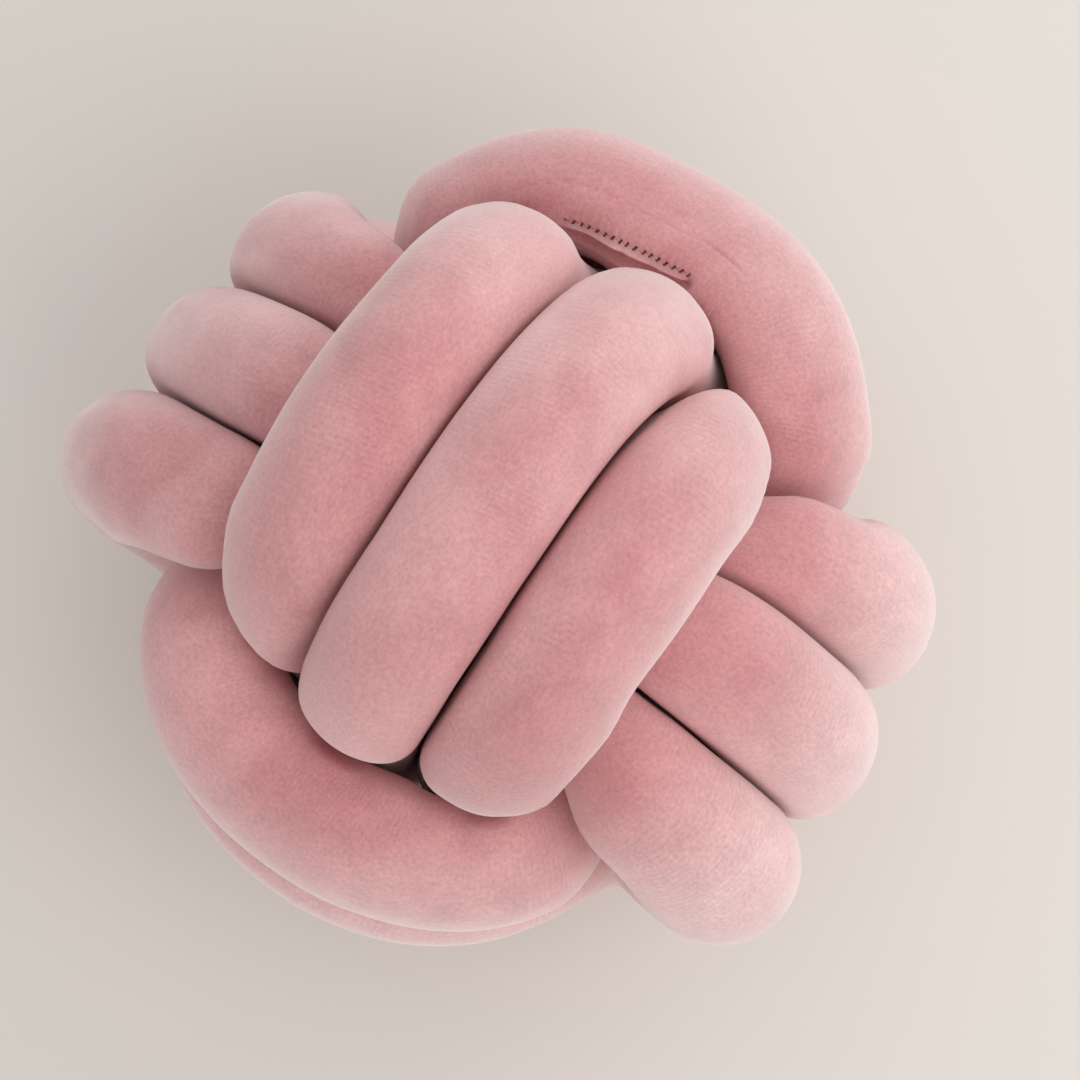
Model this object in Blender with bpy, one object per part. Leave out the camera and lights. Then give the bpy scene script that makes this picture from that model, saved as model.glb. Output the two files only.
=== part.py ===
"""Knot cushion: a ball-shaped cushion tied from one long stuffed velvet tube.

The tube is tied as a ball knot of three sets of three turns, each set square to the other two.
The face turns stand on edge along X and go round the finger turns.  The finger turns stand on edge
along Y and go round the ring turns.  The ring turns lie flat and go round the face turns.
The tube runs through the ring set, then the finger set, then the face set, and both of its ends
are tucked into the middle of the ball.

The cushion lies on its back: +Z is up, towards the face, and the origin is under the middle of it,
on the surface that it lies on.  Sizes are in metres, and angles are in degrees.
"""

from collections import namedtuple

import bmesh
import bpy
import numpy as np

# ---- driving sizes ----

TUBE_DIAMETER = 0.0475  # the stuffed tube where nothing presses on it
REST_FLAT = 0.005  # how far the lowest turns are pressed flat by the surface under them
TURN_GAP = 0.0015  # kept between touching turns
REACH = 0.109  # middle of the ball to a turn's middle line, the long way
WIDTH = 0.0675  # the same, the short way
SPREAD = 0.044  # from turn to turn where a set spreads out
WAIST = 0.0295  # from turn to turn where the next set squeezes it

# ---- the knot: a row for each turn, in the order that the tube makes them ----

# A turn is a rounded oval about the middle of the ball.  It passes four places: the ends of its
# long axis (far) and of its short axis (near), each on the plus and on the minus side.  The first
# four columns are the reach of its middle line there, and the last four say how far it has moved
# along the third axis, the one that its set is stacked on.
Turn = namedtuple(
    "Turn",
    "far_plus near_plus far_minus near_minus"
    " move_far_plus move_near_plus move_far_minus move_near_minus",
)

# Flat ovals, long in X, short in Y, stacked in Z.
RING_TURNS = (
    Turn(0.1058, 0.0758, 0.1022, 0.0705, 0.053, 0.031, 0.043, 0.031),
    Turn(0.109, WIDTH, 0.1085, WIDTH, 0.0, 0.0, 0.008, 0.0),
    Turn(REACH, WIDTH, REACH, WIDTH, -SPREAD, -WAIST, -SPREAD, -WAIST),
)
# Ovals on edge, long in Y, short in Z, stacked in X.
FINGER_TURNS = (
    Turn(0.1215, 0.0665, 0.1135, WIDTH, -0.047, -0.036, -0.048, -WAIST),
    Turn(0.1125, 0.073, 0.109, WIDTH, -0.0045, 0.001, 0.0, 0.0),
    Turn(0.1105, 0.06, 0.102, WIDTH, 0.037, 0.0295, 0.046, WAIST),
)
# Ovals on edge, long in Z, short in X, stacked in Y.
FACE_TURNS = (
    Turn(0.1115, 0.073, REACH, 0.0585, 0.0465, 0.0365, SPREAD, 0.0245),
    Turn(0.119, 0.0755, REACH, 0.071, 0.002, -0.0095, 0.0, 0.006),
    Turn(0.11, 0.053, REACH, 0.0665, -0.039, -0.032, -SPREAD, -0.029),
)

# A set: its turns, its long, short and stacking axes, how square its ovals are (2 is an ellipse),
# where the tube enters and leaves it, and where it steps from the first turn to the second.  A
# negative spin goes round from the long axis away from the short one.
TurnSet = namedtuple("TurnSet", "turns axes squareness spin enter leave step")
X, Y, Z = 0, 1, 2
SETS = (
    TurnSet(RING_TURNS, (X, Y, Z), 2.55, 1, -75, 890, 270),
    TurnSet(FINGER_TURNS, (Y, Z, X), 2.6, -1, 140, 1070, 450),
    TurnSet(FACE_TURNS, (Z, X, Y), 2.75, 1, 140, 1150, 450),
)
STEP_HALF_ANGLE = 45  # a step from one turn to the next takes this much on both sides
PINCH = 4  # how suddenly a set narrows where it is squeezed: an even power

# How full the tube is, as a share of its usual girth, at the plus and the minus end of each set's
# long axis.
FULLNESS = ((0.97, 1.0), (0.98, 1.08), (0.985, 0.985))

# The tucked ends, in tube diameters from the middle of the ball.
START_TUCK = ((-0.30, 0.45, 0.30), (-0.50, 0.0, 0.42), (-0.45, -0.55, 0.60), (-0.10, -1.08, 0.74))
END_TUCK = ((1.0, -0.76, 0.46), (0.70, -0.63, 0.08), (0.25, -0.42, -0.17), (-0.25, -0.21, -0.25))

# ---- how finely the solid follows the tube ----

RINGS = 400
SIDES = 14
RING_SHARE = 3  # sections worked out for each ring that is kept
SPOKE_SHARE = 4  # spokes worked out for each side that is kept
FINE_STEPS = 1600  # points of the middle line while it is being smoothed
ANGLE_STEP = 3
BRIDGE_POINTS = 12
BRIDGE_PULL = 1.1
LINE_SOFTNESS = 0.009  # how far along the tube its line is smoothed
ROOM_SOFTNESS = 0.005  # the same for the room that its neighbours leave it
SKIN_SOFTNESS = 0.003  # the same for its skin

# ---- how the stuffing gives way ----

OWN_STRETCH = 1.35  # diameters of the tube's own length that don't press on it
MOST_SWELL = 1.2  # of the usual radius, on the sides that nothing presses
LEAST_HALF_WIDTH = 0.15  # of the usual radius, where other turns crowd in
BEND_SHARE = 0.95  # of a bend's own radius that its inner side may fill
SHOULDER = 0.0165  # radius of the round shoulder where the tube leaves its neighbour
SHOULDER_SHARE = 0.95  # of a narrow place's half width that the shoulder may take
SHOULDER_SOFTNESS = 0.012  # how far along the tube a shoulder's radius is smoothed
GIRTH_TRIALS = 12
END_ROUNDING = 0.5  # diameters over which each tucked end closes
END_CLOSING = 0.97  # how far round it has closed where its flat cap is
TINY = 1e-9

VELVET_COLOUR = (0.71, 0.37, 0.39, 1.0)
VELVET_ROUGHNESS = 0.9


def eased(share):
    """A share from 0 to 1, with a level start and finish."""
    share = np.clip(share, 0.0, 1.0)
    return share * share * (3.0 - 2.0 * share)


def turn_line(turn, turn_set, angles):
    """Points of one turn's middle line at these running angles, from the middle of the ball."""
    radians = np.radians(turn_set.spin * angles)
    cosine, sine = np.cos(radians), np.sin(radians)
    power = turn_set.squareness
    scale = (np.abs(cosine) ** power + np.abs(sine) ** power) ** (-1.0 / power)
    far = np.where(cosine > 0, turn.far_plus, turn.far_minus) * cosine * scale
    near = np.where(sine > 0, turn.near_plus, turn.near_minus) * sine * scale
    move_far = np.where(cosine > 0, turn.move_far_plus, turn.move_far_minus)
    move_near = np.where(sine > 0, turn.move_near_plus, turn.move_near_minus)
    waist = sine**PINCH
    points = np.zeros((len(angles), 3))
    long_axis, short_axis, stack_axis = turn_set.axes
    points[:, long_axis] = far
    points[:, short_axis] = near
    points[:, stack_axis] = move_far * (1.0 - waist) + move_near * waist
    return points


def set_line(turn_set):
    """Middle line through a whole set, stepping from each turn to the next on its hidden side."""
    angles = np.arange(turn_set.enter, turn_set.leave + ANGLE_STEP, ANGLE_STEP, dtype=float)
    steps = []
    for number in range(2):
        begin = turn_set.step + 360 * number - STEP_HALF_ANGLE
        steps.append(eased((angles - begin) / (2 * STEP_HALF_ANGLE)))
    shares = (1.0 - steps[0], steps[0] - steps[1], steps[1])
    points = np.zeros((len(angles), 3))
    for share, turn in zip(shares, turn_set.turns):
        points += share[:, None] * turn_line(turn, turn_set, angles)
    return points


def bridge(before, after):
    """Points that carry the tube from the end of one line to the start of the next."""
    start, end = before[-1], after[0]
    span = np.linalg.norm(end - start) * BRIDGE_PULL
    leaving = before[-1] - before[-2]
    arriving = after[1] - after[0]
    leaving *= span / np.linalg.norm(leaving)
    arriving *= span / np.linalg.norm(arriving)
    t = np.linspace(0.0, 1.0, BRIDGE_POINTS + 2)[1:-1, None]
    return (
        (2 * t**3 - 3 * t**2 + 1) * start
        + (t**3 - 2 * t**2 + t) * leaving
        + (3 * t**2 - 2 * t**3) * end
        + (t**3 - t**2) * arriving
    )


def along(points):
    """Distance along a line to each of its points."""
    steps = np.linalg.norm(np.diff(points, axis=0), axis=1)
    return np.concatenate([[0.0], np.cumsum(steps)])


def evenly(points, count, values=None):
    """The line, or values given along it, read off at evenly spaced points."""
    distance = along(points)
    places = np.linspace(0.0, distance[-1], count)
    columns = points if values is None else values
    return np.stack([np.interp(places, distance, column) for column in columns.T], axis=1)


def bell(reach):
    """Weights of a running mean, over this many steps to each side at three spreads."""
    steps = np.arange(-int(3 * reach), int(3 * reach) + 1)
    weights = np.exp(-(steps**2) / (2.0 * reach**2))
    return weights / weights.sum()


def softened(columns, weights, ends):
    """Each column smoothed along the tube, with the ends carried on in the way that is named."""
    margin = len(weights) // 2
    kind = {"reflect_type": "odd"} if ends == "reflect" else {}
    padded = np.pad(columns, ((margin, margin), (0, 0)), mode=ends, **kind)
    return np.stack([np.convolve(column, weights, "valid") for column in padded.T], axis=1)


def least_nearby(columns, margin):
    """The least of each value and its neighbours along the tube, so that a coarse skin stays clear."""
    padded = np.pad(columns, ((margin, margin), (0, 0)), mode="edge")
    count = len(columns)
    return np.min([padded[start : start + count] for start in range(2 * margin + 1)], axis=0)


def knot_line(count):
    """The tube's whole middle line, and its fullness at each point."""
    runs = [set_line(turn_set) for turn_set in SETS]
    pieces = [np.array(START_TUCK) * TUBE_DIAMETER]
    fullness = [np.full(len(START_TUCK), FULLNESS[0][1])]
    for number, run in enumerate(runs):
        plus, minus = FULLNESS[number]
        side = np.clip(run[:, SETS[number].axes[0]] / WIDTH, -1.0, 1.0)
        pieces.append(run)
        fullness.append((plus + minus) / 2 + side * (plus - minus) / 2)
        if number + 1 < len(runs):
            pieces.append(bridge(run, runs[number + 1]))
            fullness.append(np.full(BRIDGE_POINTS, 1.0))
    pieces.append(np.array(END_TUCK) * TUBE_DIAMETER)
    fullness.append(np.full(len(END_TUCK), 1.0))
    points = np.vstack(pieces)
    rows = np.column_stack([points, np.concatenate(fullness)])
    rows = evenly(points, FINE_STEPS, rows)
    reach = LINE_SOFTNESS / (along(rows[:, :3])[-1] / FINE_STEPS)
    rows = softened(rows, bell(reach), "reflect")
    rows = evenly(rows[:, :3], count, rows)
    return rows[:, :3], rows[:, 3]


def headings(points):
    """The tube's direction at each point of its line."""
    ways = np.gradient(points, axis=0)
    return ways / np.linalg.norm(ways, axis=1)[:, None]


def spokes(points, count):
    """Directions out from the line, the same number at each point and without any twist."""
    ways = headings(points)
    side = np.cross(ways[0], (0.0, 0.0, 1.0))
    sides = [side / np.linalg.norm(side)]
    for number in range(1, len(points)):
        step = points[number] - points[number - 1]
        mirror = 2.0 / (step @ step)
        side = sides[-1] - mirror * (step @ sides[-1]) * step
        way = ways[number - 1] - mirror * (step @ ways[number - 1]) * step
        turned = ways[number] - way
        if turned @ turned > TINY**2:
            side = side - 2.0 / (turned @ turned) * (turned @ side) * turned
        sides.append(side)
    first = np.array(sides)
    second = np.cross(ways, first)
    angles = np.arange(count) * 2.0 * np.pi / count
    return (
        first[:, None, :] * np.cos(angles)[None, :, None]
        + second[:, None, :] * np.sin(angles)[None, :, None]
    )


def core_room(points, rays):
    """Each section's shoulder radius, and how far its core may reach along each spoke.

    A core is the section less its round shoulders.  It stops half-way to every other turn.
    """
    spacing = along(points)[-1] / (len(points) - 1)
    numbers = np.arange(len(points))
    apart = np.abs(numbers[:, None] - numbers[None, :]) * spacing
    other = apart > OWN_STRETCH * TUBE_DIAMETER
    between = np.sqrt(((points[:, None, :] - points[None, :, :]) ** 2).sum(axis=2))
    between = np.where(other, between, np.inf)
    half_width = between / 2 - TURN_GAP / 2
    half_width = np.maximum(half_width, LEAST_HALF_WIDTH * TUBE_DIAMETER / 2)
    bends = np.gradient(headings(points), axis=0) / spacing
    sharpness = np.linalg.norm(bends, axis=1)
    bend_radius = BEND_SHARE / np.maximum(sharpness, TINY)
    tightest = np.minimum(half_width.min(axis=1), bend_radius)
    shoulder = np.minimum(SHOULDER, SHOULDER_SHARE * tightest)[:, None]
    steps = int(SHOULDER_SOFTNESS / spacing)
    shoulder = softened(least_nearby(shoulder, 2 * steps), bell(steps / 2), "edge")[:, 0]
    reach = np.empty(rays.shape[:2])
    for number in numbers:
        near = other[number]
        ways = (points[near] - points[number]) / between[number, near][:, None]
        ahead = np.maximum(rays[number] @ ways.T, TINY)
        reach[number] = ((half_width[number, near] - shoulder[number]) / ahead).min(axis=1)
    inward = (rays * bends[:, None, :]).sum(axis=2) / np.maximum(sharpness, TINY)[:, None]
    inner_side = (bend_radius - shoulder)[:, None] / np.maximum(inward, TINY)
    return shoulder, np.minimum(reach, inner_side)


def rolled(core, shoulder):
    """Spoke lengths to the outside of a disc of the shoulder's radius, rolled round each core."""
    count = core.shape[1]
    outside = np.zeros_like(core)
    for shift in range(-(count // 4), count // 4 + 1):
        ahead = core * np.cos(shift * 2.0 * np.pi / count)
        left = shoulder[:, None] ** 2 - core**2 + ahead**2
        length = np.where(left > 0, ahead + np.sqrt(np.maximum(left, 0.0)), 0.0)
        outside = np.maximum(outside, np.roll(length, shift, axis=1))
    return outside


def girth(lengths):
    """The way round each section, as if its skin were smooth between the spokes."""
    count = lengths.shape[1]
    angles = np.arange(count) * 2.0 * np.pi / count
    corners = np.stack([lengths * np.cos(angles), lengths * np.sin(angles)], axis=2)
    facets = (np.pi / count) / np.sin(np.pi / count)
    return np.linalg.norm(np.roll(corners, -1, axis=1) - corners, axis=2).sum(axis=1) * facets


def pressed_core(reach, shoulder, girths):
    """Cores that keep each girth: pressed sides stop at their room, free ones swell."""
    low = np.zeros(len(girths))
    high = MOST_SWELL * girths / (2 * np.pi) - shoulder
    for _ in range(GIRTH_TRIALS):
        middle = (low + high) / 2
        too_big = girth(rolled(np.minimum(reach, middle[:, None]), shoulder)) > girths
        high = np.where(too_big, middle, high)
        low = np.where(too_big, low, middle)
    return np.minimum(reach, (low + high)[:, None] / 2)


def tube_rings(count, sides):
    """The cushion's skin as rings of points, lying on its back under the middle of the ball."""
    points, fullness = knot_line((count - 1) * RING_SHARE + 1)
    rays = spokes(points, sides * SPOKE_SHARE)
    girths = np.pi * TUBE_DIAMETER * fullness
    shoulder, reach = core_room(points, rays)
    distance = along(points)
    reach = np.minimum(reach, MOST_SWELL * TUBE_DIAMETER / 2 - shoulder[:, None])
    reach = softened(least_nearby(reach, 1), bell(ROOM_SOFTNESS / distance[1]), "edge")
    lengths = rolled(pressed_core(reach, shoulder, girths), shoulder)
    lengths = softened(lengths, bell(SKIN_SOFTNESS / distance[1]), "edge")
    to_end = np.minimum(distance, distance[-1] - distance)
    closing = np.clip(1.0 - to_end / (END_ROUNDING * TUBE_DIAMETER), 0.0, END_CLOSING)
    lengths *= np.sqrt(1.0 - closing**2)[:, None]
    lengths = least_nearby(lengths, RING_SHARE // 2)
    skin = points[:, None, :] + rays * lengths[:, :, None]
    skin = skin[::RING_SHARE, ::SPOKE_SHARE]
    skin[:, :, Z] += REACH + TUBE_DIAMETER / 2 - REST_FLAT
    skin[:, :, Z] = np.maximum(skin[:, :, Z], 0.0)
    middle = (skin.min(axis=(0, 1)) + skin.max(axis=(0, 1))) / 2
    skin[:, :, :Z] -= middle[:Z]
    return skin


def lofted(name, rings):
    """A closed mesh through the rings, with a flat cap on each end."""
    mesh = bpy.data.meshes.new(name)
    shape = bmesh.new()
    rows = [[shape.verts.new(point) for point in ring] for ring in rings.tolist()]
    sides = len(rows[0])
    for row, after in zip(rows, rows[1:]):
        for side in range(sides):
            beside = (side + 1) % sides
            shape.faces.new((row[side], row[beside], after[beside], after[side]))
    shape.faces.new(rows[0][::-1])
    shape.faces.new(rows[-1])
    bmesh.ops.triangulate(shape, faces=shape.faces[:])
    shape.to_mesh(mesh)
    shape.free()
    mesh.shade_smooth()
    return mesh


def velvet():
    """Plush velvet in dusty pink."""
    material = bpy.data.materials.new("velvet")
    material.use_nodes = True
    shader = material.node_tree.nodes["Principled BSDF"]
    shader.inputs["Base Color"].default_value = VELVET_COLOUR
    shader.inputs["Roughness"].default_value = VELVET_ROUGHNESS
    shader.inputs["Metallic"].default_value = 0.0
    return material


def clear_scene():
    for thing in list(bpy.data.objects):
        bpy.data.objects.remove(thing, do_unlink=True)


def main():
    clear_scene()
    collection = bpy.data.collections.new("knot_cushion")
    bpy.context.scene.collection.children.link(collection)
    mesh = lofted("knot_tube", tube_rings(RINGS, SIDES))
    mesh.materials.append(velvet())
    tube = bpy.data.objects.new("knot_tube", mesh)
    collection.objects.link(tube)


main()
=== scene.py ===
# %% [markdown]
# # A knot cushion in dusty pink velvet
#
# The real cushion is one long velvet tube, stuffed and tied as a ball knot: three sets of three
# turns, each set square to the other two.  It lies on its back, so its face looks up at us.
#
# The imported CAD model is the frame for everything here.  It already has the knot's true shape, so
# this script ties the same knot again with many more points, and then adds what a solid doesn't
# have: the soft unevenness of the stuffing, the sewn seam, and the pile of the velvet.

# %% The frame: the CAD model's parts
from collections import namedtuple
from math import cos, pi, radians, sin

import bpy
import numpy as np
from mathutils import Matrix, Vector, noise


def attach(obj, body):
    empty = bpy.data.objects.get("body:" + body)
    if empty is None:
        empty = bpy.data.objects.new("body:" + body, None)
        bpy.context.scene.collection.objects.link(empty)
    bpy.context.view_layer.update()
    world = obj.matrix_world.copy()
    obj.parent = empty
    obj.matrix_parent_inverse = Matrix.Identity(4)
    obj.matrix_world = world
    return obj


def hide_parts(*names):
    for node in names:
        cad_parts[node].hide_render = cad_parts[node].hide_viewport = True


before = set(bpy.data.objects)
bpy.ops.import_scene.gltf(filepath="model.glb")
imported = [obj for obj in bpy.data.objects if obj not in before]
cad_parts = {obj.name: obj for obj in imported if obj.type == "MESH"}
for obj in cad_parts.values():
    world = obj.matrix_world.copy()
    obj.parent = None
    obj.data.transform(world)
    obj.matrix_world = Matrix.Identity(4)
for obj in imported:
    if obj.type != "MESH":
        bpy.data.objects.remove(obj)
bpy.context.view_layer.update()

# %% [markdown]
# ## The knot's plan
#
# A knot like this is tied over the fingers of one hand, and then pulled tight.  Each turn is a
# rounded oval about the middle of the ball.  It could be traced by hand as one long curve, but a
# curve like that is hard to mend.  A short table of ovals is easier: each row says how far a turn
# reaches at the ends of its long axis (far) and short axis (near), and how far it has moved there
# along the axis that its set is stacked on.

# %% Sizes of the tube and of the knot
X, Y, Z = 0, 1, 2
TUBE_DIAMETER = 0.0475
REST_FLAT = 0.005
REACH = 0.109
WIDTH = 0.0675
SPREAD = 0.044
WAIST = 0.0295
BALL_HEIGHT = REACH + TUBE_DIAMETER / 2 - REST_FLAT

Turn = namedtuple(
    "Turn",
    "far_plus near_plus far_minus near_minus"
    " move_far_plus move_near_plus move_far_minus move_near_minus",
)
RING_TURNS = (
    Turn(0.1058, 0.0758, 0.1022, 0.0705, 0.053, 0.031, 0.043, 0.031),
    Turn(0.109, WIDTH, 0.1085, WIDTH, 0.0, 0.0, 0.008, 0.0),
    Turn(REACH, WIDTH, REACH, WIDTH, -SPREAD, -WAIST, -SPREAD, -WAIST),
)
FINGER_TURNS = (
    Turn(0.1215, 0.0665, 0.1135, WIDTH, -0.047, -0.036, -0.048, -WAIST),
    Turn(0.1125, 0.073, 0.109, WIDTH, -0.0045, 0.001, 0.0, 0.0),
    Turn(0.1105, 0.06, 0.102, WIDTH, 0.037, 0.0295, 0.046, WAIST),
)
FACE_TURNS = (
    Turn(0.1115, 0.073, REACH, 0.0585, 0.0465, 0.0365, SPREAD, 0.0245),
    Turn(0.119, 0.0755, REACH, 0.071, 0.002, -0.0095, 0.0, 0.006),
    Turn(0.11, 0.053, REACH, 0.0665, -0.039, -0.032, -SPREAD, -0.029),
)
TurnSet = namedtuple("TurnSet", "turns axes squareness spin enter leave step")
SETS = (
    TurnSet(RING_TURNS, (X, Y, Z), 2.55, 1, -75, 890, 270),
    TurnSet(FINGER_TURNS, (Y, Z, X), 2.6, -1, 140, 1070, 450),
    TurnSet(FACE_TURNS, (Z, X, Y), 2.75, 1, 140, 1150, 450),
)
print("turns in the knot:", sum(len(turn_set.turns) for turn_set in SETS))

# %% [markdown]
# ## From the plan to one line
#
# The tube makes three ring turns, three finger turns and three face turns in one go.  In each set
# it steps over to the next turn where the other sets hide it, so no break shows.  Between the sets
# a short bridge carries it on, and both ends are tucked into the middle.  The line is then smoothed
# a little, because a stuffed tube can't turn a sharp corner.

# %% One turn, and one set of turns
FULL_TURN = 360
STEP_HALF_ANGLE = 45
PINCH = 4
ANGLE_STEP = 3


def eased(share):
    """A share from 0 to 1, with a level start and finish."""
    share = np.clip(share, 0.0, 1.0)
    return share * share * (3.0 - 2.0 * share)


def turn_line(turn, turn_set, angles):
    """Points of one turn's middle line at these running angles, from the middle of the ball."""
    turned = np.radians(turn_set.spin * angles)
    cosine, sine = np.cos(turned), np.sin(turned)
    power = turn_set.squareness
    scale = (np.abs(cosine) ** power + np.abs(sine) ** power) ** (-1.0 / power)
    far = np.where(cosine > 0, turn.far_plus, turn.far_minus) * cosine * scale
    near = np.where(sine > 0, turn.near_plus, turn.near_minus) * sine * scale
    move_far = np.where(cosine > 0, turn.move_far_plus, turn.move_far_minus)
    move_near = np.where(sine > 0, turn.move_near_plus, turn.move_near_minus)
    waist = sine**PINCH
    points = np.zeros((len(angles), 3))
    long_axis, short_axis, stack_axis = turn_set.axes
    points[:, long_axis] = far
    points[:, short_axis] = near
    points[:, stack_axis] = move_far * (1.0 - waist) + move_near * waist
    return points


def set_line(turn_set):
    """Middle line through a whole set, stepping from each turn to the next on its hidden side."""
    angles = np.arange(turn_set.enter, turn_set.leave + ANGLE_STEP, ANGLE_STEP, dtype=float)
    steps = []
    for number in range(2):
        begin = turn_set.step + FULL_TURN * number - STEP_HALF_ANGLE
        steps.append(eased((angles - begin) / (2 * STEP_HALF_ANGLE)))
    shares = (1.0 - steps[0], steps[0] - steps[1], steps[1])
    points = np.zeros((len(angles), 3))
    for share, turn in zip(shares, turn_set.turns):
        points += share[:, None] * turn_line(turn, turn_set, angles)
    return points


print("points in each set:", [len(set_line(turn_set)) for turn_set in SETS])

# %% Helpers for reading and smoothing a line
BRIDGE_POINTS = 12
BRIDGE_PULL = 1.1


def bridge(before, after):
    """Points that carry the tube from the end of one line to the start of the next."""
    start, end = before[-1], after[0]
    span = np.linalg.norm(end - start) * BRIDGE_PULL
    leaving = before[-1] - before[-2]
    arriving = after[1] - after[0]
    leaving *= span / np.linalg.norm(leaving)
    arriving *= span / np.linalg.norm(arriving)
    t = np.linspace(0.0, 1.0, BRIDGE_POINTS + 2)[1:-1, None]
    return (
        (2 * t**3 - 3 * t**2 + 1) * start
        + (t**3 - 2 * t**2 + t) * leaving
        + (3 * t**2 - 2 * t**3) * end
        + (t**3 - t**2) * arriving
    )


def along(points):
    """Distance along a line to each of its points."""
    steps = np.linalg.norm(np.diff(points, axis=0), axis=1)
    return np.concatenate([[0.0], np.cumsum(steps)])


def evenly(points, count, values=None):
    """The line, or values given along it, read off at evenly spaced points."""
    distance = along(points)
    places = np.linspace(0.0, distance[-1], count)
    columns = points if values is None else values
    return np.stack([np.interp(places, distance, column) for column in columns.T], axis=1)


def bell(reach):
    """Weights of a running mean, over this many steps to each side at three spreads."""
    steps = np.arange(-int(3 * reach), int(3 * reach) + 1)
    weights = np.exp(-(steps**2) / (2.0 * reach**2))
    return weights / weights.sum()


def softened(columns, weights, ends):
    """Each column smoothed along the tube, with the ends carried on in the way that is named."""
    margin = len(weights) // 2
    kind = {"reflect_type": "odd"} if ends == "reflect" else {}
    padded = np.pad(columns, ((margin, margin), (0, 0)), mode=ends, **kind)
    return np.stack([np.convolve(column, weights, "valid") for column in padded.T], axis=1)


print("weights of a short running mean:", bell(1.0).round(3).tolist())

# %% The tube's middle line
FINE_STEPS = 1600
LINE_SOFTNESS = 0.009
FULLNESS = ((0.97, 1.0), (0.98, 1.08), (0.985, 0.985))
START_TUCK = ((-0.30, 0.45, 0.30), (-0.50, 0.0, 0.42), (-0.45, -0.55, 0.60), (-0.10, -1.08, 0.74))
END_TUCK = ((1.0, -0.76, 0.46), (0.70, -0.63, 0.08), (0.25, -0.42, -0.17), (-0.25, -0.21, -0.25))
RINGS = 1250


def knot_line(count):
    """The tube's whole middle line, and its fullness at each point."""
    runs = [set_line(turn_set) for turn_set in SETS]
    pieces = [np.array(START_TUCK) * TUBE_DIAMETER]
    fullness = [np.full(len(START_TUCK), FULLNESS[0][1])]
    for number, run in enumerate(runs):
        plus, minus = FULLNESS[number]
        side = np.clip(run[:, SETS[number].axes[0]] / WIDTH, -1.0, 1.0)
        pieces.append(run)
        fullness.append((plus + minus) / 2 + side * (plus - minus) / 2)
        if number + 1 < len(runs):
            pieces.append(bridge(run, runs[number + 1]))
            fullness.append(np.full(BRIDGE_POINTS, 1.0))
    pieces.append(np.array(END_TUCK) * TUBE_DIAMETER)
    fullness.append(np.full(len(END_TUCK), 1.0))
    points = np.vstack(pieces)
    rows = np.column_stack([points, np.concatenate(fullness)])
    rows = evenly(points, FINE_STEPS, rows)
    reach = LINE_SOFTNESS / (along(rows[:, :3])[-1] / FINE_STEPS)
    rows = softened(rows, bell(reach), "reflect")
    rows = evenly(rows[:, :3], count, rows)
    return rows[:, :3], rows[:, 3]


line, fullness = knot_line(RINGS)
distance = along(line)

# %% [markdown]
# ## Sections: how one stuffed turn presses on the next
#
# Where nothing presses, the tube is round.  Where turns meet, the loose filling gives way, and both
# sides go flat along the surface half-way between them.  A cloth simulation is the usual way to
# find this, but five metres of tube pressed on itself all the way is a costly one, and its result
# would still have to keep to the CAD model's shape.  So each section is worked out: spokes go out
# from the middle line, each stops half-way to the nearest other turn, and the free sides swell
# until the girth is what was cut.

# %% Spokes out from the line, without any twist
SIDES = 72
TINY = 1e-9


def headings(points):
    """The tube's direction at each point of its line."""
    ways = np.gradient(points, axis=0)
    return ways / np.linalg.norm(ways, axis=1)[:, None]


def spokes(points, count):
    """Directions out from the line, the same number at each point and without any twist."""
    ways = headings(points)
    side = np.cross(ways[0], (0.0, 0.0, 1.0))
    sides = [side / np.linalg.norm(side)]
    for number in range(1, len(points)):
        step = points[number] - points[number - 1]
        mirror = 2.0 / (step @ step)
        side = sides[-1] - mirror * (step @ sides[-1]) * step
        way = ways[number - 1] - mirror * (step @ ways[number - 1]) * step
        turned = ways[number] - way
        if turned @ turned > TINY**2:
            side = side - 2.0 / (turned @ turned) * (turned @ side) * turned
        sides.append(side)
    first = np.array(sides)
    second = np.cross(ways, first)
    angles = np.arange(count) * 2.0 * np.pi / count
    return (
        first[:, None, :] * np.cos(angles)[None, :, None]
        + second[:, None, :] * np.sin(angles)[None, :, None]
    )


rays = spokes(line, SIDES)
print("spokes:", rays.shape[0] * rays.shape[1])

# %% [markdown]
# The skin of a stuffed tube is stretched, so it never folds into a sharp edge: where it leaves its
# neighbour, it rolls away in a round shoulder.  A section with round shoulders is a smaller shape,
# its core, with a disc rolled all round it.  So the spokes measure the room for the core first.

# %% How round the shoulders can be, and how much room is left for the core
TURN_GAP = 0.0008
OWN_STRETCH = 1.35
SHOULDER = 0.0165
SHOULDER_SHARE = 0.95
LEAST_HALF_WIDTH = 0.15
BEND_SHARE = 0.95


def least_nearby(columns, margin):
    """The least of each value and its neighbours along the tube."""
    padded = np.pad(columns, ((margin, margin), (0, 0)), mode="edge")
    count = len(columns)
    return np.min([padded[start : start + count] for start in range(2 * margin + 1)], axis=0)


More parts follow.
